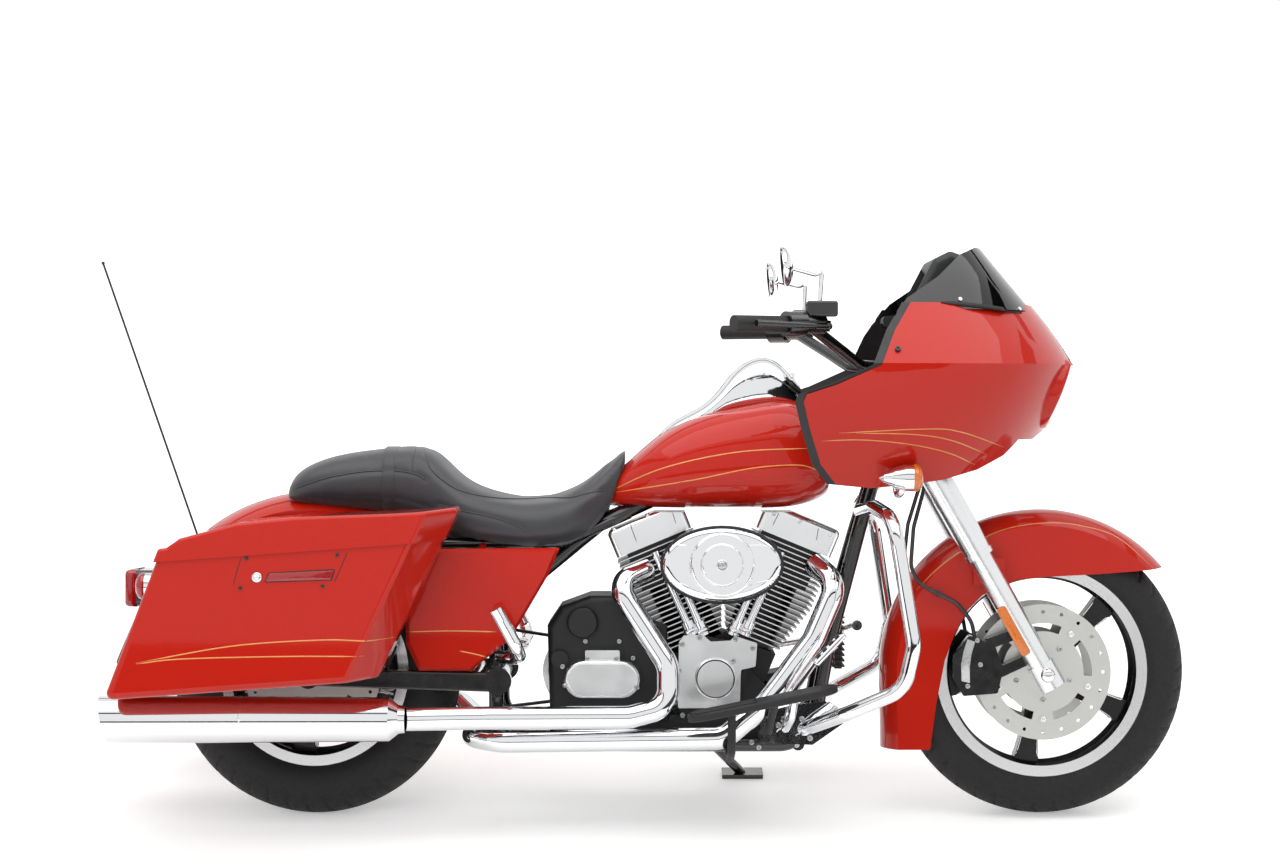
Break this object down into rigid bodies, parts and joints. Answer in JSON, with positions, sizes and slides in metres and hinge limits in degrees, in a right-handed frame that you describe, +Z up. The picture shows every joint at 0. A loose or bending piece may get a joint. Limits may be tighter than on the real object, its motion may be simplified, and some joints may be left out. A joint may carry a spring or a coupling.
{
  "type": "touring motorcycle",
  "caption": "Touring cruiser motorcycle with a frame-mounted fairing, V engine, hard saddlebags and full fenders, leaning on its side stand.",
  "frame": {"origin": "on the floor under the middle of the bounding box", "axes": "+X forward, +Y to the rider's left, +Z up; the machine leans 9 degrees to +Y on its side stand"},
  "size_m": [2.4483, 0.9977, 1.2908],
  "materials": {
    "red_paint": "gloss",
    "chrome": "polished",
    "black_metal": "gloss",
    "black_plastic": "satin",
    "disc_steel": "brushed",
    "tyre": "matte",
    "rubber": "matte",
    "leather": "satin",
    "smoked_glass": "clear",
    "clear_glass": "clear"
  },
  "bodies": {
    "chassis": {"frame": "black_metal", "cylinders": "black_metal", "rocker_covers": "chrome", "engine_case": "black_metal", "gearbox": "black_metal", "engine_covers": "chrome", "air_cleaner": "chrome", "pushrod_tubes": "chrome", "horn_cover": "chrome", "mufflers": "chrome", "exhaust_headers": "chrome", "fuel_tank": "red_paint", "tank_console": "chrome", "rear_fender": "red_paint", "tail_lamp": "black_metal", "antenna": "black_plastic", "side_covers": "red_paint", "seat": "leather", "saddlebag_right": "red_paint", "saddlebag_left": "red_paint", "fairing_shell": "red_paint", "headlamp_lenses": "clear_glass", "headlamps": "chrome", "inner_fairing": "black_plastic", "windshield": "smoked_glass", "gauge_pod": "black_plastic", "turn_signals": "chrome", "oil_cooler": "black_metal", "engine_guard": "chrome", "footboards": "rubber", "pillion_pegs": "chrome", "foot_controls": "chrome", "swingarm": "black_metal", "shocks": "chrome", "drive_belt": "rubber"},
    "fork": {"fork_legs": "chrome", "fork_yokes": "black_metal", "handlebar": "chrome", "grips": "rubber", "bar_controls": "black_metal", "mirrors": "chrome", "front_fender": "red_paint", "front_calipers": "black_metal"},
    "front_wheel": {"front_rim": "black_metal", "front_tyre": "tyre", "front_discs": "disc_steel"},
    "rear_wheel": {"rear_rim": "black_metal", "rear_tyre": "tyre", "rear_disc_and_pulley": "disc_steel"},
    "side_stand": {"side_stand": "black_metal"},
    "bag_lid_left": {"bag_lid_left": "red_paint"},
    "bag_lid_right": {"bag_lid_right": "red_paint"},
    "fuel_door": {"fuel_door": "chrome"}
  },
  "joints": [
    {"name": "steering", "type": "hinge", "parent": "chassis", "child": "fork", "pos_m": [0.64505, 0.02518, 0.87034], "axis": [-0.4384, 0.1406, 0.8877], "range_deg": [-28, 28]},
    {"name": "front_wheel_spin", "type": "hinge", "parent": "fork", "child": "front_wheel", "pos_m": [0.90425, -0.06242, 0.31723], "axis": [0, 0.9877, -0.1564], "continuous": true},
    {"name": "rear_wheel_spin", "type": "hinge", "parent": "chassis", "child": "rear_wheel", "pos_m": [-0.70875, -0.06242, 0.31723], "axis": [0, 0.9877, -0.1564], "continuous": true},
    {"name": "side_stand_fold", "type": "hinge", "parent": "chassis", "child": "side_stand", "pos_m": [0.15775, 0.07193, 0.12991], "axis": [0.121, 0.7116, 0.6921], "range_deg": [0, 107]},
    {"name": "bag_lid_right_hinge", "type": "hinge", "parent": "chassis", "child": "bag_lid_right", "pos_m": [-0.71118, -0.22406, 0.66471], "axis": [-0.9974, -0.0112, -0.0706], "range_deg": [0, 55]},
    {"name": "bag_lid_left_hinge", "type": "hinge", "parent": "chassis", "child": "bag_lid_left", "pos_m": [-0.71118, 0.19868, 0.59775], "axis": [0.9974, 0.0112, 0.0706], "range_deg": [0, 55]},
    {"name": "fuel_door_hinge", "type": "hinge", "parent": "chassis", "child": "fuel_door", "pos_m": [0.35375, 0.04067, 0.96812], "axis": [0, 0.9877, -0.1564], "range_deg": [0, 70]}
  ]
}
